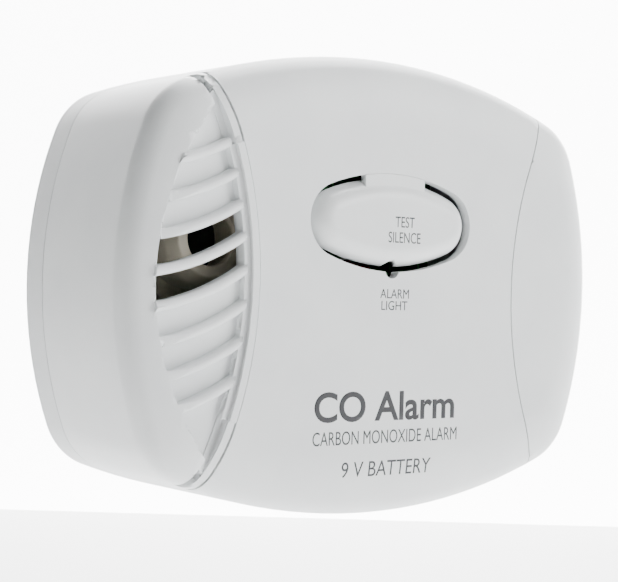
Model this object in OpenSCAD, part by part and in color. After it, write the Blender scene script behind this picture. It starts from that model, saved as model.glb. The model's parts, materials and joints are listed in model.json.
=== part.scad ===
// Battery carbon monoxide alarm, wall mounted, all sizes in millimetres.
// Drawn lying on its back: x across, y up the wall, z out from the wall. place() stands it up.

/* [Case] */
// Distance of the corner centres along the side bows, sets the height
side_reach = 67; // [60:1:90]
// Distance of the corner centres along the top bows, sets the width
top_reach = 116; // [96:1:150]
// Radius of the four corners
corner_r = 13.4; // [13:0.1:16]
// Front face above the wall
body_d = 38; // [36:0.5:46]
// Edge radius round the front
edge_r = 5; // [4:0.5:6]
// Wall thickness of the mouldings
wall = 2.2; // [1.8:0.1:2.6]
// Height of the rear cover's wall
rear_h = 6.2; // [5.6:0.1:7]
// Parting gap between the covers
seam_gap = 0.2; // [0.1:0.05:0.4]

/* [Grille] */
// Radius of the two curved lines on the front
arc_r = 75; // [70:1:80]
// Distance of each curved line from the end of the case
arc_inset = 26.02; // [24.52:0.5:28.52]
// Width of the raised bead
bead_w = 1.4; // [1:0.1:2]
// Height of the raised bead
bead_h = 0.45; // [0.3:0.05:0.8]
// Radius of the grille's outer edge
lens_r = 49.8; // [48:0.2:52]
// Distance of the grille's left end from the end of the case
lens_inset = 5.52; // [5.52:0.1:8.52]
// Distance from bar to bar
bar_pitch = 6.3; // [6:0.1:6.6]
// Thickness of a bar
bar_w = 1.9; // [1.5:0.1:2.3]
// Depth of the closed slots
slot_depth = 2.1; // [1.5:0.1:2.6]

/* [Test button] */
// Distance from the bow centres to the end centres
button_reach = 37.5; // [34:0.5:37.5]
// Radius of the button's ends
button_end_r = 6.2; // [5.8:0.1:6.8]
// Height of the button's middle above the case's middle
button_y = 12.4; // [10:0.1:13]
// Gap round the button
button_gap = 0.9; // [0.6:0.1:1.2]
// Rise of the button above the front face
button_rise = 1.1; // [0.8:0.1:1.4]
// Radius of the button's soft edge
button_rim = 4.2; // [3.6:0.1:5]
// Radius of the button's hinge bead
flex_r = 0.6; // [0.5:0.05:0.7]
// Running clearance in the hinges
run_gap = 0.05; // [0.03:0.01:0.09]

/* [Battery door] */
// Gap along the door's curved edge
door_gap = 0.3; // [0.2:0.05:0.5]
// Height of the door's lower edge above the wall
door_t = 12.3; // [11.8:0.1:13]
// Radius of the hinge knuckles
knuckle_r = 1.7; // [1.5:0.1:1.9]
// Radius of the hinge pin
pin_r = 0.8; // [0.6:0.05:1]

/* [Inside] */
// Circuit board thickness
board_h = 1.6; // [1:0.1:2]
// Circuit board height above the wall
board_t = 12; // [11:0.1:13]
// Radius of the horn's mouth
horn_r = 5.15; // [4.5:0.05:5.5]
// Battery width
battery_w = 17.5; // [17:0.1:17.5]
// Battery depth
battery_d = 26.5; // [26:0.1:26.5]
// Radius of a case screw
screw_r = 1.4; // [1.2:0.1:1.6]
// Radius of a keyhole's mouth
keyhole_r = 4.5; // [4:0.1:5]
// Radius of a keyhole's slot
keyslot_r = 2.3; // [2:0.1:2.6]
// Distance of each keyhole from the middle
keyhole_x = 25; // [22:1:26]

/* [Hidden] */
$fn = 96;
tilt_c = 0.936;
tilt_s = 0.352;
far = 200;
half_w = corner_r + tilt_s * top_reach + (1 - tilt_c) * side_reach;
half_h = corner_r + tilt_s * side_reach + (1 - tilt_c) * top_reach;
side_r = side_reach + corner_r;
top_r = top_reach + corner_r;
side_c = half_w - side_r;
top_c = half_h - top_r;
corner_x = tilt_s * top_reach;
corner_y = tilt_s * side_reach;
blend_r = 5 * edge_r;
blend_in = edge_r + tilt_s * (blend_r - edge_r);
fillet_t = body_d - blend_r + tilt_c * (blend_r - edge_r);
blend_t = body_d - blend_r;
front_t0 = rear_h + seam_gap;
arc_x = half_w - arc_inset;
lens_x = half_w - lens_inset;
arc_c = arc_x + arc_r;
lens_c = lens_r - lens_x;
bar_r = 48.5;
bar_x = -lens_x - 7.3;
bar_y0 = 49.55;
pan_t = body_d - slot_depth;
pan_h = 1.6;
bar_d = 2.6;
bar_drop = 0.05;
end_x = tilt_s * button_reach;
bow_y = tilt_c * button_reach;
bow_r = button_reach + button_end_r;
button_top = button_y + bow_r - bow_y + button_gap;
flex_y = button_top + 0.5;
flex_t = body_d - 1.1;
web_x0 = -7.2;
web_x1 = 7.8;
led_y = button_y - bow_r + bow_y - button_gap / 2;
led_hole_r = 1.75;
stem_y = button_y - 2.8;
stem_r = 2;
hinge_x = half_w - knuckle_r;
hinge_t = 11;
relief_r = knuckle_r + 1.05;
hinge_web_in = 1.1;
knuckle_in = 3;
knuckle_out = 9;
side_gap = 0.25;
board_top = board_t + board_h;
switch_h = 3.5;
plunger_r = 1.75;
plunger_top = board_top + switch_h + 1.5;
horn_x = -arc_x - 4;
horn_y = 8;
horn_top = 29.5;
sensor_x = -arc_x - 0.5;
sensor_y = -17.5;
sensor_r = 8.5;
bulkhead_x = half_w - wall - 25.02;
bulkhead_w = 1.5;
battery_fit = 0.5;
battery_x = bulkhead_x + bulkhead_w + battery_fit;
battery_y0 = -24.2;
battery_l = 46.4;
battery_t0 = 3;
catch_x = bulkhead_x + bulkhead_w + 0.5;
catch_w = 8;
catch_r = 0.6;
catch_t = body_d - 6.5;
snap_x = battery_x + battery_w / 2;
snap_gap = 12.7;
snap_t = battery_t0 + battery_d / 2;
snap_y = battery_y0 + battery_l + 0.6;
left_screw_x = wall + 11.32 - half_w;
left_screw_y = half_h - wall - 18.208;
right_screw_x = bulkhead_x - 1.3;
right_screw_in = wall + 4.872;
right_screw_y = round(100 * (top_c + sqrt(pow(top_r - right_screw_in, 2)
  - pow(right_screw_x, 2)))) / 100;
case_screws = [[left_screw_x, left_screw_y], [left_screw_x, -left_screw_y],
  [right_screw_x, right_screw_y], [right_screw_x, -right_screw_y]];
board_x0 = wall + 5.32 - half_w;
board_x1 = bulkhead_x - 0.3;
board_y = right_screw_y - 3.6;
post_x = board_x1 - 5;
board_posts = [[-22, board_y - 3], [post_x, 4 - board_y], [post_x, board_y - 4], [-20, 3 - board_y]];
wire_r = 0.65;
wire_bend = 2;
wire_t = 20;

module place() { rotate([90, 0, 0]) children(); }

// one rod along x, y or z
module rod_z(x, y, z0, z1, r) { translate([x, y, z0]) cylinder(h = z1 - z0, r = r); }
module rod_y(x, z, y0, y1, r) { translate([x, y0, z]) rotate([-90, 0, 0]) cylinder(h = y1 - y0, r = r); }
module rod_x(y, z, x0, x1, r) { translate([x0, y, z]) rotate([0, 90, 0]) cylinder(h = x1 - x0, r = r); }
module block(x0, x1, y0, y1, z0, z1) { translate([x0, y0, z0]) cube([x1 - x0, y1 - y0, z1 - z0]); }

// wedges that split the outline where its arcs meet
module side_wedge() {
  polygon([[0, 0], [far * tilt_c, -far * tilt_s], [far * 1.2, 0], [far * tilt_c, far * tilt_s]]);
}
module top_wedge() {
  polygon([[0, 0], [far * tilt_s, far * tilt_c], [0, far * 1.2], [-far * tilt_s, far * tilt_c]]);
}
module corner_wedge() {
  polygon([[0, 0], [far * tilt_c, far * tilt_s], [far, far], [far * tilt_s, far * tilt_c]]);
}
module end_wedge() {
  x = far * tilt_s;
  y = far * tilt_c;
  polygon([[0, 0], [x, -y], [far, -y], [far, y], [x, y]]);
}
module outline_core() {
  intersection() {
    translate([side_c, 0]) circle(side_reach);
    translate([-side_c, 0]) circle(side_reach);
    translate([0, top_c]) circle(top_reach);
    translate([0, -top_c]) circle(top_reach);
  }
}

// front-view outline, inset by g
module outline(g) {
  for (s = [0, 1]) mirror([s, 0]) translate([side_c, 0]) intersection() {
    difference() {
      circle(side_r - g);
      circle(side_reach - 4);
    }
    side_wedge();
  }
  for (s = [0, 1]) mirror([0, s]) translate([0, top_c]) intersection() {
    difference() {
      circle(top_r - g);
      circle(top_reach - 4);
    }
    top_wedge();
  }
  for (s = [0, 1]) for (v = [0, 1]) mirror([s, 0]) mirror([0, v]) translate([corner_x, corner_y])
    intersection() {
      circle(corner_r - g);
      corner_wedge();
    }
  outline_core();
}

// section of the case edge: wall, tight edge radius, soft blend, flat front
module edge_profile(r, r_in, g, t0) {
  translate([r_in, t0]) square([r - blend_in - r_in, body_d - g - t0]);
  edge_x = r - edge_r;
  polygon([[r - blend_in, t0], [r - g, t0], [r - g, fillet_t], [edge_x, fillet_t], [r - blend_in, blend_t]]);
  translate([r - edge_r, fillet_t]) intersection() {
    circle(edge_r - g);
    polygon([[0, 0], [far, 0], [far, far], [far * tilt_s, far * tilt_c]]);
  }
  translate([r - blend_in, blend_t]) intersection() {
    circle(blend_r - g);
    polygon([[0, 0], [far * tilt_s, far * tilt_c], [0, far]]);
  }
}
module sector(r, r_in, g, t0) {
  intersection() {
    rotate_extrude() edge_profile(r, r_in, g, t0);
    translate([0, 0, t0 - 1]) linear_extrude(body_d + 4) children();
  }
}

// the whole rounded case as a solid, inset by g, from t0 outwards
module pillow(g, t0) {
  for (s = [0, 1]) mirror([s, 0, 0]) translate([side_c, 0, 0])
    sector(side_r, side_reach - 4, g, t0) side_wedge();
  for (s = [0, 1]) mirror([0, s, 0]) translate([0, top_c, 0])
    sector(top_r, top_reach - 4, g, t0) top_wedge();
  for (s = [0, 1]) for (v = [0, 1]) mirror([s, 0, 0]) mirror([0, v, 0]) translate([corner_x, corner_y, 0])
    sector(corner_r, 0, g, t0) corner_wedge();
  translate([0, 0, t0]) linear_extrude(body_d - g - t0) outline_core();
}

// ring shaped band round the left or right arc centre
module arc_band(side, r0, r1, t0, t1) {
  translate([side * arc_c, 0, t0]) difference() {
    cylinder(h = t1 - t0, r = r1);
    translate([0, 0, -1]) cylinder(h = t1 - t0 + 2, r = r0);
  }
}

module bar_circle(k, r) { translate([bar_x, bar_y0 + (4 - k) * bar_pitch]) circle(r); }
module lens(grow) {
  intersection() {
    translate([-arc_c, 0]) circle(arc_r - 2 + grow);
    translate([lens_c, 0]) circle(lens_r + grow);
  }
}
// slot k lies between bar k and bar k + 1
module slot(k) {
  difference() {
    intersection() {
      lens(0);
      if (k < 8) bar_circle(k + 1, bar_r - bar_w / 2);
    }
    if (k > 0) bar_circle(k, bar_r + bar_w / 2);
  }
}

// the button's oval, grown by g
module oval(g) {
  translate([0, button_y]) {
    for (s = [0, 1]) mirror([0, s]) translate([0, -bow_y]) intersection() {
      difference() {
        circle(bow_r + g);
        circle(button_reach - 1);
      }
      polygon([[0, 0], [far * tilt_s, far * tilt_c], [0, far * 1.2], [-far * tilt_s, far * tilt_c]]);
    }
    for (s = [0, 1]) mirror([s, 0]) translate([end_x, 0]) intersection() {
      circle(button_end_r + g);
      end_wedge();
    }
    intersection() {
      translate([0, bow_y]) circle(button_reach);
      translate([0, -bow_y]) circle(button_reach);
    }
  }
}

module cover_shell() {
  difference() {
    union() {
      pillow(0, front_t0);
      intersection() {
        pillow(-bead_h, fillet_t - 3);
        arc_band(-1, arc_r - bead_w / 2, arc_r + bead_w / 2, fillet_t - 2, body_d + 2);
      }
    }
    pillow(wall, front_t0 - 1);
    difference() {
      union() {
        arc_band(-1, arc_r - 2, arc_r - bead_w / 2, fillet_t - 1, body_d + 2);
        arc_band(-1, arc_r + bead_w / 2, arc_r + bead_w / 2 + 0.5, fillet_t - 1, body_d + 2);
      }
      pillow(0.5, fillet_t - 4);
    }
  }
}

module grille_pan() {
  difference() {
    translate([0, 0, pan_t - pan_h]) linear_extrude(pan_h + 0.25) lens(1.6);
    translate([0, 0, pan_t - pan_h - 1]) linear_extrude(pan_h + 1 - bar_d + slot_depth) difference() {
      intersection() {
        lens(0.4);
        bar_circle(5, bar_r);
      }
      bar_circle(3, bar_r);
    }
  }
}

// half-round bars that follow the case down at its end
module bar_section() {
  low = body_d - bar_d;
  crown = body_d - bar_drop - bar_w / 2;
  translate([bar_r - bar_w / 2, low]) square([bar_w, crown - low]);
  translate([bar_r, crown]) intersection() {
    circle(bar_w / 2);
    translate([-bar_w / 2, 0]) square([bar_w, bar_w]);
  }
}
module grille_bars() {
  for (k = [1 : 8]) intersection() {
    translate([bar_x, bar_y0 + (4 - k) * bar_pitch, 0]) rotate_extrude() bar_section();
    translate([0, 0, body_d - bar_d - 1]) linear_extrude(bar_d + 3) lens(0.4);
    mirror([1, 0, 0]) translate([side_c, 0, 0])
      rotate_extrude() edge_profile(side_r, side_reach - 40, bar_drop, body_d - bar_d - 2);
  }
}

module front_cover() {
  color([0.86, 0.87, 0.87]) place() difference() {
    union() {
      difference() {
        union() {
          difference() {
            union() {
              cover_shell();
              grille_pan();
            }
            translate([0, 0, pan_t]) linear_extrude(10) lens(0);
          }
          grille_bars();
          for (p = case_screws) rod_z(p[0], p[1], 8, body_d - wall + 0.4, 3.1);
        }
        rod_z(arc_c, 0, door_t - door_gap, body_d + 5, arc_r + door_gap / 2);
        rod_y(hinge_x, hinge_t, -17.2, 17.2, relief_r);
      }
      rod_y(hinge_x, hinge_t, -knuckle_in, knuckle_in, knuckle_r);
      block(half_w - wall, half_w - hinge_web_in, -knuckle_in, knuckle_in, front_t0 + 0.2, hinge_t);
    }
    for (k = [3, 4]) translate([0, 0, pan_t - 6]) linear_extrude(16) slot(k);
    translate([0, 0, body_d - wall - 2]) linear_extrude(8) oval(button_gap);
    rod_z(0, led_y, body_d - wall - 2, body_d + 5, led_hole_r);
    rod_x(flex_y, flex_t, web_x0, web_x1, flex_r + run_gap);
    block(web_x0, web_x1, flex_y - 2.5, flex_y, flex_t - 0.6, flex_t + 0.6);
    for (p = case_screws) rod_z(p[0], p[1], 7, 20, screw_r + 0.05);
    rod_y(hinge_x, hinge_t, -17, 17, pin_r);
  }
}

module keyhole(x, y) {
  rod_z(x, y, -1, wall + 1, keyhole_r);
  rod_z(x, y + 9, -1, wall + 1, keyslot_r);
  block(x - keyslot_r, x + keyslot_r, y, y + 9, -1, wall + 1);
}

module rear_cover() {
  color([0.84, 0.85, 0.86]) place() difference() {
    union() {
      difference() {
        linear_extrude(rear_h) outline(0);
        translate([0, 0, wall]) linear_extrude(rear_h) outline(wall);
      }
      translate([0, 0, wall - 0.2]) linear_extrude(rear_h + 2.2 - wall) difference() {
        outline(wall + 0.2);
        outline(wall + 1.5);
      }
      for (p = case_screws) rod_z(p[0], p[1], 1, 8, 4);
      for (p = board_posts) rod_z(p[0], p[1], 1, board_t, 3);
      for (p = [board_posts[2], board_posts[3]]) rod_z(p[0], p[1], 1, board_top + 1.2, 1.2);
      block(bulkhead_x, bulkhead_x + bulkhead_w, -23.4, 23.4, 1, catch_t + 2.1);
      block(snap_x - 6, snap_x + 6, snap_y + 5.2, snap_y + 6.6, 1, 27);
      block(snap_x - 6, snap_x + 8, battery_y0 - 2.4, battery_y0 - 0.9, 1, 20);
      for (s = [-1, 1]) rod_y(snap_x + 3 * s, battery_t0 - 1.4, -20, 18, 1.2);
    }
    for (s = [-1, 1]) keyhole(s * keyhole_x, 8);
    for (p = case_screws) {
      rod_z(p[0], p[1], -1, 4, 3.2);
      rod_z(p[0], p[1], -1, 9, screw_r + 0.3);
    }
    for (p = [board_posts[0], board_posts[1]]) rod_z(p[0], p[1], 4, board_t + 1, 1.25);
    block(bulkhead_x - 0.3, bulkhead_x + bulkhead_w + 0.7, -catch_w / 2 - 0.4, catch_w / 2 + 0.4,
      catch_t - 1.3, catch_t + 1.2);
    block(-22.5, 22.5, -31.5, -5.5, -1, 0.25);
  }
}

module battery_door() {
  color([0.86, 0.87, 0.87]) place() difference() {
    union() {
      intersection() {
        difference() {
          pillow(0, door_t);
          pillow(wall, door_t - 1);
        }
        rod_z(arc_c, 0, door_t - 1, body_d + 5, arc_r - door_gap / 2);
      }
      for (s = [0, 1]) mirror([0, s, 0]) {
        rod_y(hinge_x, hinge_t, knuckle_in + side_gap, knuckle_out, knuckle_r);
        block(half_w - 2.6, half_w - 0.7, knuckle_in + side_gap, knuckle_out, hinge_t, door_t + 1);
      }
      block(catch_x, catch_x + 1.2, -catch_w / 2, catch_w / 2, catch_t - catch_r, body_d - wall + 0.4);
      rod_y(catch_x, catch_t, -catch_w / 2, catch_w / 2, catch_r);
    }
    rod_y(hinge_x, hinge_t, -knuckle_in - side_gap, knuckle_in + side_gap, knuckle_r + 0.35);
    rod_y(hinge_x, hinge_t, -17, 17, pin_r + run_gap);
  }
}

module door_hinge_pin() {
  color([0.75, 0.76, 0.78]) place() rod_y(hinge_x, hinge_t, 0.4 - knuckle_out, knuckle_out - 0.4, pin_r);
}

// rounded rim section of the button
module button_profile(r, r_in) {
  rim = button_rim;
  low = body_d - 2;
  high = button_rise + 2;
  translate([r_in, low]) square([r - rim - r_in, high]);
  translate([r - rim, low]) intersection() {
    translate([0, high - rim]) circle(rim);
    square([rim, high]);
  }
}
module button_plate() {
  low = body_d - 2;
  translate([0, button_y, 0]) {
    for (s = [0, 1]) mirror([0, s, 0]) translate([0, -bow_y, 0]) intersection() {
      rotate_extrude() button_profile(bow_r, button_reach - 1);
      translate([0, 0, low - 1]) linear_extrude(6)
        top_wedge();
    }
    for (s = [0, 1]) mirror([s, 0, 0]) translate([end_x, 0, 0]) intersection() {
      rotate_extrude() button_profile(button_end_r, 0);
      translate([0, 0, low - 1]) linear_extrude(6)
        end_wedge();
    }
    translate([0, 0, low]) linear_extrude(2 + button_rise) intersection() {
      translate([0, bow_y]) circle(button_reach);
      translate([0, -bow_y]) circle(button_reach);
    }
  }
}

module test_button() {
  color([0.87, 0.88, 0.88]) place() difference() {
    union() {
      button_plate();
      intersection() {
        translate([0, 0, flex_t - 0.4]) linear_extrude(1.5) oval(button_gap - 0.07);
        block(web_x0, web_x1, button_y + 4, flex_y + 2, 0, far);
      }
      rod_x(flex_y, flex_t, web_x0 + 0.3, web_x1 - 0.3, flex_r);
      block(web_x0 + 0.3, web_x1 - 0.3, flex_y - 2.5, flex_y, flex_t - 0.4, flex_t + 0.4);
      rod_z(0, stem_y, plunger_top + 0.1, body_d - 1, stem_r);
    }
    rod_z(0, led_y, body_d - 4, body_d + 5, led_hole_r);
  }
}

module switch_body() {
  color([0.12, 0.12, 0.13]) place() difference() {
    block(-3, 3, stem_y - 3, stem_y + 3, board_top, board_top + switch_h);
    rod_z(0, stem_y, board_top + 0.8, plunger_top, plunger_r + run_gap);
  }
}
module switch_plunger() {
  color([0.75, 0.2, 0.15]) place() rod_z(0, stem_y, board_top + 1.8, plunger_top, plunger_r);
}

module circuit_board() {
  color([0.1, 0.35, 0.18]) place() difference() {
    translate([0, 0, board_t]) linear_extrude(board_h) intersection() {
      outline(wall + 2.2);
      translate([board_x0, -board_y]) square([board_x1 - board_x0, 2 * board_y]);
    }
    for (p = [case_screws[0], case_screws[1]]) rod_z(p[0], p[1], 10, 16, 3.6);
    for (p = board_posts) rod_z(p[0], p[1], 10, 16, 1.35);
    for (s = [-1, 1]) rod_z(s * 1.27, led_y, 10, 16, 0.4);
    for (k = [-1, 0, 1]) rod_z(sensor_x + k * 4, sensor_y, 10, 16, 0.6);
  }
}

module alarm_led() {
  color([0.45, 0.05, 0.05]) place() {
    rod_z(0, led_y, 23.2, 24.2, 1.9);
    rod_z(0, led_y, 24, 29, 1.5);
    translate([0, led_y, 29]) sphere(r = 1.5);
  }
}
module led_spacer() {
  color([0.9, 0.9, 0.86]) place() difference() {
    rod_z(0, led_y, board_top, 23.2, 2.2);
    for (s = [-1, 1]) rod_z(s * 1.27, led_y, 10, 24, 0.35);
  }
}
module led_lead(s) { color([0.78, 0.78, 0.8]) place() rod_z(s * 1.27, led_y, board_t - 1.2, 23.2, 0.3); }
module led_lead_left() { led_lead(-1); }
module led_lead_right() { led_lead(1); }

module horn_housing() {
  color([0.78, 0.76, 0.7]) place() translate([horn_x, horn_y, 0]) rotate_extrude() polygon([
    [10.2, board_top], [12, board_top], [12, 20], [9.4, 21.6], [9.4, 26.6], [7.2, horn_top],
    [horn_r, horn_top], [horn_r, horn_top - 1.4], [8, horn_top - 4.2], [8, 18.4], [10.2, 18.4]]);
}
module horn_disc() {
  color([0.8, 0.62, 0.3]) place() rod_z(horn_x, horn_y, 18.2, 18.4, 10);
}
module horn_ceramic() {
  color([0.9, 0.88, 0.8]) place() rod_z(horn_x, horn_y, 18, 18.2, 7);
}
module horn_contact(a, r, top) {
  color([0.8, 0.66, 0.35]) place() rod_z(horn_x + r * a[0], horn_y + r * a[1], board_top, top, 0.45);
}
module horn_contact_a() { horn_contact([-1, 0], 9, 18.2); }
module horn_contact_b() { horn_contact([0.8, 0.6], 3, 18); }
module horn_contact_c() { horn_contact([0.6, -0.8], 5.6, 18); }

module sensor_can() {
  color([0.72, 0.73, 0.74]) place() rod_z(sensor_x, sensor_y, board_top + 0.8, 26, sensor_r);
}
module sensor_cap() {
  color([0.93, 0.93, 0.9]) place() difference() {
    rod_z(sensor_x, sensor_y, 26, 28.6, sensor_r + 0.4);
    rod_z(sensor_x, sensor_y, 27, 29.6, 2.4);
  }
}
module sensor_pin(k) {
  color([0.82, 0.7, 0.4]) place() rod_z(sensor_x + k * 4, sensor_y, board_t - 1.4, board_top + 0.8, 0.5);
}
module sensor_pin_a() { sensor_pin(-1); }
module sensor_pin_b() { sensor_pin(0); }
module sensor_pin_c() { sensor_pin(1); }

module controller_chip() {
  color([0.1, 0.1, 0.11]) place() block(3, 15, -18, -10.5, board_top + 0.15, board_top + 2.5);
}
module controller_leads() {
  color([0.8, 0.8, 0.82]) place() for (k = [0 : 8]) for (s = [0, 1]) {
    x = 4.08 + k * 1.23;
    y0 = s == 0 ? -19.3 : -10.5;
    translate([x - 0.2, y0, board_top]) {
      translate([0, s == 0 ? 0 : 0.4, 0]) cube([0.4, 0.9, 0.25]);
      translate([0, s == 0 ? 0.65 : 0.4, 0]) cube([0.4, 0.25, 1.5]);
      translate([0, s == 0 ? 0.65 : 0, 1.25]) cube([0.4, 0.65, 0.25]);
    }
  }
}

module coil_core() {
  color([0.16, 0.16, 0.17]) place() {
    rod_z(-11, 23, board_top, board_top + 1.2, 4.2);
    rod_z(-11, 23, board_top + 1, board_top + 9.2, 2.2);
    rod_z(-11, 23, board_top + 9, board_top + 10.2, 4.2);
  }
}
module coil_winding() {
  color([0.72, 0.38, 0.18]) place() difference() {
    rod_z(-11, 23, board_top + 1.2, board_top + 9, 3.7);
    rod_z(-11, 23, board_top, board_top + 10, 2.2);
  }
}
module capacitor(x, y, r, h) {
  color([0.14, 0.16, 0.3]) place() difference() {
    rod_z(x, y, board_top, board_top + h, r);
    translate([x, y, board_top + 1.4]) rotate_extrude() translate([r + 0.25, 0]) circle(0.5);
  }
}
module capacitor_a() { capacitor(board_x1 - 17, 22, 3.15, 11); }
module capacitor_b() { capacitor(board_x1 - 9, 15, 2.5, 8); }
module transistor() {
  color([0.11, 0.11, 0.12]) place() intersection() {
    rod_z(12, -25, board_top + 2, board_top + 6.8, 2.4);
    block(8, 16, -26.4, -20, 10, 30);
  }
}
module transistor_leads() {
  color([0.8, 0.8, 0.82]) place()
    for (k = [-1, 0, 1]) rod_z(12 + k * 1.27, -25, board_top, board_top + 2, 0.25);
}
module resistor(x, y) {
  color([0.2, 0.2, 0.2]) place() block(x - 1, x + 1, y - 0.62, y + 0.62, board_top, board_top + 0.55);
}
module resistor_a() { resistor(-8, -12); }
module resistor_b() { resistor(-8, -15.5); }
module resistor_c() { resistor(board_x1 - 11, -12); }

module battery_case() {
  color([0.16, 0.17, 0.2]) place() translate([0, battery_y0, 0]) rotate([-90, 0, 0]) linear_extrude(battery_l)
    mirror([0, 1]) translate([battery_x, battery_t0]) {
      r = 2.5;
      translate([0, r]) square([battery_w, battery_d - 2 * r]);
      translate([r, 0]) square([battery_w - 2 * r, battery_d]);
      for (x = [r, battery_w - r]) for (y = [r, battery_d - r]) translate([x, y]) circle(r);
    }
}
module battery_plate(y) {
  block(battery_x + 1, battery_x + battery_w - 1, y, y + 0.6, battery_t0 + 1, battery_t0 + battery_d - 1);
}
module battery_top() { color([0.1, 0.1, 0.1]) place() battery_plate(battery_y0 + battery_l); }
module battery_base() { color([0.1, 0.1, 0.1]) place() battery_plate(battery_y0 - 0.6); }
module battery_stud() {
  color([0.8, 0.8, 0.82]) place() rod_y(snap_x, snap_t + snap_gap / 2, snap_y, snap_y + 2, 2.85);
}
module ring_y(t, y0, y1, r0, r1) {
  difference() {
    rod_y(snap_x, t, y0, y1, r1);
    rod_y(snap_x, t, y0 - 1, y1 + 1, r0);
  }
}
module battery_socket() {
  color([0.8, 0.8, 0.82]) place() ring_y(snap_t - snap_gap / 2, snap_y, snap_y + 2, 3.2, 4.2);
}
module snap_block() {
  color([0.1, 0.1, 0.1]) place()
    block(snap_x - 6.2, snap_x + 5.2, snap_y + 2.6, snap_y + 5.2, snap_t - 12.2, snap_t + 12.2);
}
module snap_socket() {
  color([0.8, 0.8, 0.82]) place() ring_y(snap_t + snap_gap / 2, snap_y + 0.3, snap_y + 2.6, 3, 4.1);
}
module snap_stud() {
  color([0.8, 0.8, 0.82]) place() rod_y(snap_x, snap_t - snap_gap / 2, snap_y + 0.3, snap_y + 2.6, 2.8);
}

// out of the snap block, one bend, down to the board
module wire(y, x_end) {
  rod_x(y, wire_t, x_end + wire_bend, snap_x - 6.2, wire_r);
  translate([x_end + wire_bend, y, wire_t - wire_bend]) rotate([90, 0, 0]) intersection() {
    rotate_extrude() translate([wire_bend, 0]) circle(wire_r);
    translate([-5, 0, -2]) cube([5, 5, 4]);
  }
  rod_z(x_end, y, board_top, wire_t - wire_bend, wire_r);
}
module wire_red() { color([0.7, 0.1, 0.08]) place() wire(snap_y + 4.5, board_x1 - 1.2); }
module wire_black() { color([0.08, 0.08, 0.08]) place() wire(snap_y + 3.15, board_x1 - 1.2); }

// cross recess in a screw head
module cross(p, half, width, z0, z1) {
  block(p[0] - width / 2, p[0] + width / 2, p[1] - half, p[1] + half, z0, z1);
  block(p[0] - half, p[0] + half, p[1] - width / 2, p[1] + width / 2, z0, z1);
}
module case_screw(k) {
  p = case_screws[k];
  color([0.7, 0.71, 0.73]) place() difference() {
    union() {
      rod_z(p[0], p[1], 2, 4, 2.8);
      rod_z(p[0], p[1], 3, 19, screw_r);
    }
    cross(p, 1.8, 0.8, 1, 3);
  }
}
module case_screw_a() { case_screw(0); }
module case_screw_b() { case_screw(1); }
module case_screw_c() { case_screw(2); }
module case_screw_d() { case_screw(3); }

module board_screw(k) {
  p = board_posts[k];
  color([0.7, 0.71, 0.73]) place() difference() {
    union() {
      rod_z(p[0], p[1], board_top, board_top + 1.8, 2.5);
      rod_z(p[0], p[1], 5, board_top + 1, 1.2);
    }
    cross(p, 1.6, 0.7, board_top + 0.9, board_top + 4);
  }
}
module board_screw_a() { board_screw(0); }
module board_screw_b() { board_screw(1); }

module rating_label() {
  color([0.9, 0.9, 0.9]) place() block(-22, 22, -31, -6, 0.1, 0.25);
}

front_cover();
rear_cover();
battery_door();
door_hinge_pin();
test_button();
switch_body();
switch_plunger();
circuit_board();
alarm_led();
led_spacer();
led_lead_left();
led_lead_right();
horn_housing();
horn_disc();
horn_ceramic();
horn_contact_a();
horn_contact_b();
horn_contact_c();
sensor_can();
sensor_cap();
sensor_pin_a();
sensor_pin_b();
sensor_pin_c();
controller_chip();
controller_leads();
coil_core();
coil_winding();
capacitor_a();
capacitor_b();
transistor();
transistor_leads();
resistor_a();
resistor_b();
resistor_c();
battery_case();
battery_top();
battery_base();
battery_stud();
battery_socket();
snap_block();
snap_socket();
snap_stud();
wire_red();
wire_black();
case_screw_a();
case_screw_b();
case_screw_c();
case_screw_d();
board_screw_a();
board_screw_b();
rating_label();
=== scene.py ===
import bpy
import json
from math import radians, sin, cos
from mathutils import Matrix, Vector


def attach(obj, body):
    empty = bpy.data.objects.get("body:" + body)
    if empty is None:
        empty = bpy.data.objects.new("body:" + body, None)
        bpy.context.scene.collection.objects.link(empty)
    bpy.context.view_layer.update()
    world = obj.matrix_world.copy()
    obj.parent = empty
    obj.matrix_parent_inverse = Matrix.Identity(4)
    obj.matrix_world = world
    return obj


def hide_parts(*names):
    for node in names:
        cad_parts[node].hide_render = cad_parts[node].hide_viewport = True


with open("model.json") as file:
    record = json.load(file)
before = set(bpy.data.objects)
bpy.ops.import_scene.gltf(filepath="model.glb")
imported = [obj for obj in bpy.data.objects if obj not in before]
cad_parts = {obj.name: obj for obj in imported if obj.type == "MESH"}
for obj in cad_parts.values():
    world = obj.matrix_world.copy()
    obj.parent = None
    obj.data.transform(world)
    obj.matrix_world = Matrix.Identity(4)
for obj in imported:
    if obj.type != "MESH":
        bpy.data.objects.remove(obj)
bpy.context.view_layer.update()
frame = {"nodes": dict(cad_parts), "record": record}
nodes = frame["nodes"]
mm = 0.001
print("frame loaded,", len(nodes), "nodes")


def linearColour(hexText, alpha=1.0):
    channels = [int(hexText[i:i + 2], 16) / 255 for i in (1, 3, 5)]
    return [c / 12.92 if c <= 0.04045 else ((c + 0.055) / 1.055) ** 2.4 for c in channels] + [alpha]


def addNode(tree, kind, inputs=None, **settings):
    node = tree.nodes.new(kind)
    for key, value in settings.items():
        setattr(node, key, value)
    for key, value in (inputs or {}).items():
        if isinstance(value, bpy.types.NodeSocket):
            tree.links.new(value, node.inputs[key])
        else:
            node.inputs[key].default_value = value
    return node


def newMaterial(name):
    material = bpy.data.materials.new(name)
    material.use_nodes = True
    tree = material.node_tree
    shader = tree.nodes["Principled BSDF"]
    place = addNode(tree, "ShaderNodeTexCoord")
    return material, tree, shader, place.outputs["Object"]


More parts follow.
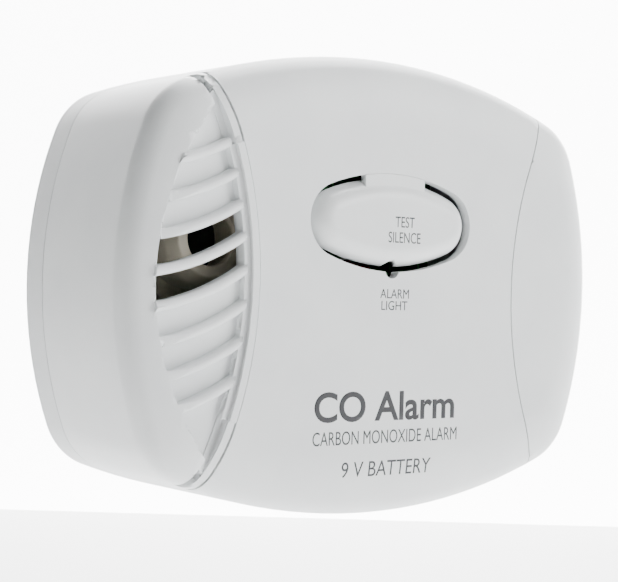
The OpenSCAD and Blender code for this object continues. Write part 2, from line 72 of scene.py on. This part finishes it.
def tintRamp(tree, factor, stops):
    ramp = addNode(tree, "ShaderNodeValToRGB", {"Fac": factor})
    elements = ramp.color_ramp.elements
    for element, (position, colour) in zip(elements, stops):
        element.position = position
        element.color = linearColour(colour)
    return ramp.outputs["Color"]


# moulded plastics: a fine spark-eroded grain breaks up the gloss, with a faint cloudiness in the colour
def mouldedPlastic(name, colour, shade, rough, grain=0.35, depth=0.01):
    material, tree, shader, place = newMaterial(name)
    cloud = addNode(tree, "ShaderNodeTexNoise", {"Vector": place, "Scale": 1 / (14 * mm), "Detail": 3})
    fine = addNode(tree, "ShaderNodeTexNoise", {"Vector": place, "Scale": 1 / (grain * mm), "Detail": 2})
    tree.links.new(tintRamp(tree, cloud.outputs["Fac"], [(0.35, shade), (0.65, colour)]),
                   shader.inputs["Base Color"])
    gloss = addNode(tree, "ShaderNodeMapRange", {"Value": cloud.outputs["Fac"],
                    "To Min": rough - 0.04, "To Max": rough + 0.04})
    bump = addNode(tree, "ShaderNodeBump", {"Height": fine.outputs["Fac"], "Distance": depth * mm,
                   "Strength": 0.6})
    tree.links.new(gloss.outputs["Result"], shader.inputs["Roughness"])
    tree.links.new(bump.outputs["Normal"], shader.inputs["Normal"])
    shader.inputs["IOR"].default_value = 1.53
    return material


# metals: drawn or turned, so the streaks run one way
def workedMetal(name, colour, shade, rough, streak=(1, 1, 8)):
    material, tree, shader, place = newMaterial(name)
    stretch = addNode(tree, "ShaderNodeMapping", {"Vector": place, "Scale": streak})
    lines = addNode(tree, "ShaderNodeTexNoise", {"Vector": stretch.outputs["Vector"],
                    "Scale": 1 / (0.8 * mm), "Detail": 3})
    tree.links.new(tintRamp(tree, lines.outputs["Fac"], [(0.3, shade), (0.7, colour)]),
                   shader.inputs["Base Color"])
    gloss = addNode(tree, "ShaderNodeMapRange", {"Value": lines.outputs["Fac"],
                    "To Min": rough - 0.06, "To Max": rough + 0.08})
    bump = addNode(tree, "ShaderNodeBump", {"Height": lines.outputs["Fac"], "Distance": 0.006 * mm,
                   "Strength": 0.5})
    tree.links.new(gloss.outputs["Result"], shader.inputs["Roughness"])
    tree.links.new(bump.outputs["Normal"], shader.inputs["Normal"])
    shader.inputs["Metallic"].default_value = 1.0
    return material


# glass epoxy board under green solder mask: copper tracks show as lighter lines
def solderMask(name):
    material, tree, shader, place = newMaterial(name)
    turn = addNode(tree, "ShaderNodeMapping", {"Vector": place, "Rotation": (radians(90), 0, 0)})
    tracks = addNode(tree, "ShaderNodeTexBrick", {"Vector": turn.outputs["Vector"], "Scale": 1 / (9 * mm),
                     "Mortar Size": 0.035, "Brick Width": 0.9, "Row Height": 0.32,
                     "Color1": linearColour("#1E5A33"), "Color2": linearColour("#1B5530"),
                     "Mortar": linearColour("#3C8A4E")})
    bump = addNode(tree, "ShaderNodeBump", {"Height": tracks.outputs["Fac"], "Distance": 0.03 * mm})
    tree.links.new(tracks.outputs["Color"], shader.inputs["Base Color"])
    tree.links.new(bump.outputs["Normal"], shader.inputs["Normal"])
    shader.inputs["Roughness"].default_value = 0.3
    return material


# enamelled copper wire, wound in level turns; the colour is darker in the grooves between turns, which is
# painted shade
def copperWinding(name):
    material, tree, shader, place = newMaterial(name)
    turnsWithGrooveShade = addNode(tree, "ShaderNodeTexWave", {"Vector": place, "Scale": 1 / (0.35 * mm) / 6.283},
                    bands_direction="Y", wave_profile="SIN")
    # the dark stop paints shade into the grooves between the turns
    tree.links.new(tintRamp(tree, turnsWithGrooveShade.outputs["Fac"], [(0.1, "#5E2A12"), (0.7, "#C0703A")]),
                   shader.inputs["Base Color"])
    bump = addNode(tree, "ShaderNodeBump", {"Height": turnsWithGrooveShade.outputs["Fac"], "Distance": 0.12 * mm})
    tree.links.new(bump.outputs["Normal"], shader.inputs["Normal"])
    shader.inputs["Metallic"].default_value = 1.0
    shader.inputs["Roughness"].default_value = 0.32
    return material


# tinted epoxy lens, clear enough to see its depth
def ledEpoxy(name):
    material, tree, shader, place = newMaterial(name)
    cloud = addNode(tree, "ShaderNodeTexNoise", {"Vector": place, "Scale": 1 / (1.5 * mm)})
    tree.links.new(tintRamp(tree, cloud.outputs["Fac"], [(0.3, "#5A0A0A"), (0.7, "#8C1414")]),
                   shader.inputs["Base Color"])
    shader.inputs["Roughness"].default_value = 0.12
    shader.inputs["Transmission Weight"].default_value = 0.4
    shader.inputs["IOR"].default_value = 1.52
    return material


finishes = {
    "case_plastic": mouldedPlastic("whiteAbsSatin", "#E6E9E9", "#E1E4E5", 0.40),
    "rear_plastic": mouldedPlastic("whiteAbsRear", "#DEE1E2", "#D9DCDD", 0.44),
    "button_plastic": mouldedPlastic("whiteAbsButton", "#E8EBEB", "#E4E7E7", 0.34, depth=0.005),
    "zinc_steel": workedMetal("zincPlatedSteel", "#B9BCC0", "#94979C", 0.34),
    "black_plastic": mouldedPlastic("blackMouldedEpoxy", "#1C1C1E", "#161618", 0.5, grain=0.2),
    "red_plastic": mouldedPlastic("redAcetal", "#A62C22", "#972318", 0.42),
    "board_laminate": solderMask("greenSolderMask"),
    "led_epoxy": ledEpoxy("darkRedLedEpoxy"),
    "white_plastic": mouldedPlastic("naturalNylon", "#E8E5DA", "#DCD8CB", 0.5),
    "tinned_metal": workedMetal("tinPlatedMetal", "#D2D3D6", "#B4B6BA", 0.26),
    "horn_plastic": mouldedPlastic("beigeHornPlastic", "#C9C3B2", "#BDB6A4", 0.45),
    "brass": workedMetal("rolledBrass", "#D2AE62", "#B18B42", 0.3),
    "ceramic": mouldedPlastic("silveredCeramic", "#D8D2BE", "#C8C1AA", 0.55, grain=0.15),
    "stainless_steel": workedMetal("drawnStainless", "#A9ABAE", "#8A8D91", 0.28, (1, 8, 1)),
    "copper_wire": copperWinding("enamelledCopperWire"),
    "capacitor_sleeve": mouldedPlastic("navyShrinkSleeve", "#1D2A50", "#172242", 0.28),
    "battery_jacket": mouldedPlastic("paintedBatterySteel", "#2A2D34", "#23262C", 0.3, grain=0.6),
    "red_insulation": mouldedPlastic("redPvcInsulation", "#B3221C", "#9C1B16", 0.38),
    "black_insulation": mouldedPlastic("blackPvcInsulation", "#17171A", "#111113", 0.4),
    "label_film": mouldedPlastic("whiteLabelFilm", "#E9EAEA", "#E3E4E4", 0.5, grain=0.15),
}
# the horn's disc is brass, painted near black here: painted shade for the dark inside of the horn's mouth
# seen from the front
paintedShadeFinishes = {"horn_disc": mouldedPlastic("paintedShadeDisc", "#0B0B0C", "#080809", 0.6, grain=0.2)}
print("finishes made,", len(finishes) + len(paintedShadeFinishes))

slotOf = {entry["node"]: entry["material_slot"] for entry in frame["record"]["subparts"]}
bodyOf = {node: body for body, held in frame["record"]["behaviour"]["bodies"].items() for node in held}

# the covers have their soft edges in the mould already
edgeRadius = {"front_cover": 0, "rear_cover": 0, "battery_door": 0, "test_button": 0,
              "horn_housing": 0.3, "battery_case": 0.2}
usualRadius = 0.06
edgeStyle = {"join": 0.002, "flatAngle": 0.2, "bevelAngle": 40, "smoothAngle": 38, "flatWeight": 100}


def softenEdges(name):
    source = nodes[name]
    piece = source.copy()
    piece.data = source.data.copy()
    piece.name = name + "_finished"
    bpy.context.collection.objects.link(piece)
    bpy.ops.object.select_all(action="DESELECT")
    piece.select_set(True)
    bpy.context.view_layer.objects.active = piece
    bpy.ops.object.mode_set(mode="EDIT")
    bpy.ops.mesh.select_all(action="SELECT")
    bpy.ops.mesh.remove_doubles(threshold=edgeStyle["join"] * mm)
    bpy.ops.mesh.dissolve_limited(angle_limit=radians(edgeStyle["flatAngle"]))
    bpy.ops.object.mode_set(mode="OBJECT")
    radius = edgeRadius.get(name, usualRadius)
    if radius:
        bevel = piece.modifiers.new("softEdge", "BEVEL")
        bevel.limit_method = "ANGLE"
        bevel.angle_limit = radians(edgeStyle["bevelAngle"])
        bevel.width = radius * mm
        bevel.segments = 2
        bevel.use_clamp_overlap = True
        bpy.ops.object.modifier_apply(modifier=bevel.name)
    bpy.ops.object.shade_smooth_by_angle(angle=radians(edgeStyle["smoothAngle"]))
    even = piece.modifiers.new("evenNormals", "WEIGHTED_NORMAL")  # keeps wide flat faces flat
    even.keep_sharp = True
    even.weight = edgeStyle["flatWeight"]
    bpy.ops.object.modifier_apply(modifier=even.name)
    piece.data.materials.clear()
    # the horn disc gets its near-black painted shade here in place of its own finish
    piece.data.materials.append(paintedShadeFinishes.get(name, finishes[slotOf[name]]))
    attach(piece, bodyOf[name])
    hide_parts(name)
    return piece


finished = {name: softenEdges(name) for name in nodes}
print("edges softened,", sum(len(p.data.polygons) for p in finished.values()), "faces")

# screen-printed ink: thin closed letters laid on the moulding
ink = {"thickness": 0.02, "cuts": 3, "curve": 6, "boldOffset": 0.02, "join": 0.0005,
       "castFrom": -60, "missedAt": -38}
printGrey = mouldedPlastic("greyPrintInk", "#3A3D40", "#343739", 0.55, grain=0.12)
printDark = mouldedPlastic("darkPrintInk", "#26272B", "#212226", 0.5, grain=0.12)
printRows = [
    {"name": "button_legend_top", "text": "TEST", "at": (2.0, 12.6), "size": (4.9, 2.1),
     "on": "test_button", "ink": printGrey},
    {"name": "button_legend_low", "text": "SILENCE", "at": (2.0, 9.6), "size": (8.2, 2.1),
     "on": "test_button", "ink": printGrey},
    {"name": "light_caption_top", "text": "ALARM", "at": (0.8, -1.3), "size": (7.3, 1.8),
     "on": "front_cover", "ink": printGrey},
    {"name": "light_caption_low", "text": "LIGHT", "at": (0.8, -3.6), "size": (6.6, 1.8),
     "on": "front_cover", "ink": printGrey},
    {"name": "type_title", "text": "CO Alarm", "at": (-0.4, -23.0), "size": (35.5, 5.8), "bold": True,
     "on": "front_cover", "ink": printDark},
    {"name": "type_line", "text": "CARBON MONOXIDE ALARM", "at": (-0.1, -28.9), "size": (36.6, 2.6),
     "on": "front_cover", "ink": printGrey},
    {"name": "battery_line", "text": "9 V BATTERY", "at": (0.2, -35.0), "size": (22.6, 3.0),
     "on": "front_cover", "ink": printGrey},
]


def printLetters(row):
    host = finished[row["on"]]
    bpy.ops.object.select_all(action="DESELECT")
    bpy.ops.object.text_add()
    letters = bpy.context.object
    letters.data.body = row["text"]
    letters.data.resolution_u = ink["curve"]
    letters.data.offset = ink["boldOffset"] if row.get("bold") else 0
    bpy.ops.object.convert(target="MESH")
    bpy.ops.object.mode_set(mode="EDIT")
    bpy.ops.mesh.select_all(action="SELECT")
    bpy.ops.mesh.remove_doubles(threshold=ink["join"])
    bpy.ops.mesh.quads_convert_to_tris()
    bpy.ops.mesh.subdivide(number_cuts=ink["cuts"])
    bpy.ops.object.mode_set(mode="OBJECT")
    points = letters.data.vertices
    lows = [min(v.co[i] for v in points) for i in (0, 1)]
    spans = [max(v.co[i] for v in points) - lows[i] for i in (0, 1)]
    for v in points:  # fit the row to its box, then drop each point onto the moulding
        x, z = (row["at"][i] + ((v.co[i] - lows[i]) / spans[i] - 0.5) * row["size"][i] for i in (0, 1))
        start = Vector((x * mm, ink["castFrom"] * mm, z * mm))
        hit, spot = host.ray_cast(start, Vector((0, 1, 0)))[:2]
        v.co = spot if hit else Vector((x * mm, ink["missedAt"] * mm, z * mm))
    solid = letters.modifiers.new("inkFilm", "SOLIDIFY")
    solid.thickness = ink["thickness"] * mm
    solid.offset = 1
    bpy.ops.object.modifier_apply(modifier=solid.name)
    letters.name = row["name"]
    letters.data.materials.append(row["ink"])
    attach(letters, bodyOf[row["on"]])
    return letters


printed = [printLetters(row) for row in printRows]
print("printing laid,", len(printed), "rows")

# floor, lights and camera
studio = {"floorDrop": 0.16, "worldStrength": 0.3, "worldDim": 0.02, "keyPower": 14.0, "topPower": 18.0,
          "backdropAway": 0.75, "backdropGlow": 9.0}
bpy.ops.object.select_all(action="DESELECT")
bpy.ops.mesh.primitive_plane_add(size=12, location=(0, 0, -studio["floorDrop"]))
floor = bpy.context.object
floor.name = "studioFloor"
floorPaint, _, floorShader, _ = newMaterial("matteWhiteFloor")
floorShader.inputs["Base Color"].default_value = linearColour("#F4F4F4")
floorShader.inputs["Roughness"].default_value = 0.9
floor.data.materials.append(floorPaint)

cameraSpec = {"pivot": (0, -0.019, 0), "distance": 0.3163, "azimuth": -38.398, "elevation": -0.139,
              "roll": 1.636, "sensor": 36, "lens": 90.67, "shift": (-0.0354, -0.0090)}
away = Vector((-sin(radians(cameraSpec["azimuth"])), cos(radians(cameraSpec["azimuth"])), 0))
bpy.ops.mesh.primitive_plane_add(size=2.2, location=away * studio["backdropAway"],
                                 rotation=away.to_track_quat("Z", "Y").to_euler())
backdrop = bpy.context.object
backdrop.name = "litBackdrop"
paper, _, paperShader, _ = newMaterial("litWhitePaper")
paperShader.inputs["Base Color"].default_value = linearColour("#FFFFFF")
paperShader.inputs["Emission Color"].default_value = linearColour("#FFFFFF")
paperShader.inputs["Emission Strength"].default_value = studio["backdropGlow"]
backdrop.data.materials.append(paper)

world = bpy.data.worlds.new("paleStudio")
world.use_nodes = True
# the room is dimmer on the left, and a plain white backdrop where it is seen directly
worldTree = world.node_tree
room = worldTree.nodes["Background"]
room.inputs["Color"].default_value = linearColour("#FFFFFF")
heading = addNode(worldTree, "ShaderNodeTexCoord")
across = addNode(worldTree, "ShaderNodeSeparateXYZ", {"Vector": heading.outputs["Generated"]})
fade = addNode(worldTree, "ShaderNodeMapRange", {"Value": across.outputs["X"], "From Min": -0.7,
               "From Max": 0.5, "To Min": studio["worldDim"], "To Max": studio["worldStrength"]})
worldTree.links.new(fade.outputs["Result"], room.inputs["Strength"])
seen = addNode(worldTree, "ShaderNodeBackground", {"Color": linearColour("#FFFFFF"), "Strength": 1.0})
path = addNode(worldTree, "ShaderNodeLightPath")
blend = addNode(worldTree, "ShaderNodeMixShader", {"Fac": path.outputs["Is Camera Ray"]})
worldTree.links.new(room.outputs["Background"], blend.inputs[1])
worldTree.links.new(seen.outputs["Background"], blend.inputs[2])
worldTree.links.new(blend.outputs["Shader"], worldTree.nodes["World Output"].inputs["Surface"])
bpy.context.scene.world = world


def addSoftbox(name, place, size, power, target=(0, -0.019, 0)):
    data = bpy.data.lights.new(name, "AREA")
    data.shape = "RECTANGLE"
    data.size, data.size_y = size
    data.energy = power
    lamp = bpy.data.objects.new(name, data)
    bpy.context.collection.objects.link(lamp)
    lamp.location = place
    lamp.rotation_euler = (Vector(target) - Vector(place)).to_track_quat("-Z", "Y").to_euler()
    return lamp


addSoftbox("keyBox", (0.75, -0.95, 0.45), (0.6, 0.6), studio["keyPower"])
addSoftbox("topBox", (0.35, 0.1, 0.8), (0.7, 0.5), studio["topPower"])


def addCamera(spec):
    turn, lift, roll = (radians(spec[key]) for key in ("azimuth", "elevation", "roll"))
    back = Vector((sin(turn) * cos(lift), -cos(turn) * cos(lift), sin(lift)))
    level = Vector((cos(turn), sin(turn), 0))
    rise = back.cross(level)
    right = level * cos(roll) + rise * sin(roll)
    up = rise * cos(roll) - level * sin(roll)
    data = bpy.data.cameras.new("frontCamera")
    data.lens = spec["lens"]
    data.sensor_width = spec["sensor"]
    data.shift_x, data.shift_y = spec["shift"]
    camera = bpy.data.objects.new("frontCamera", data)
    bpy.context.collection.objects.link(camera)
    turned = Matrix((right, up, back)).transposed().to_4x4()
    camera.matrix_world = Matrix.Translation(Vector(spec["pivot"]) + back * spec["distance"]) @ turned
    bpy.context.scene.camera = camera


addCamera(cameraSpec)
print("stage and camera set")
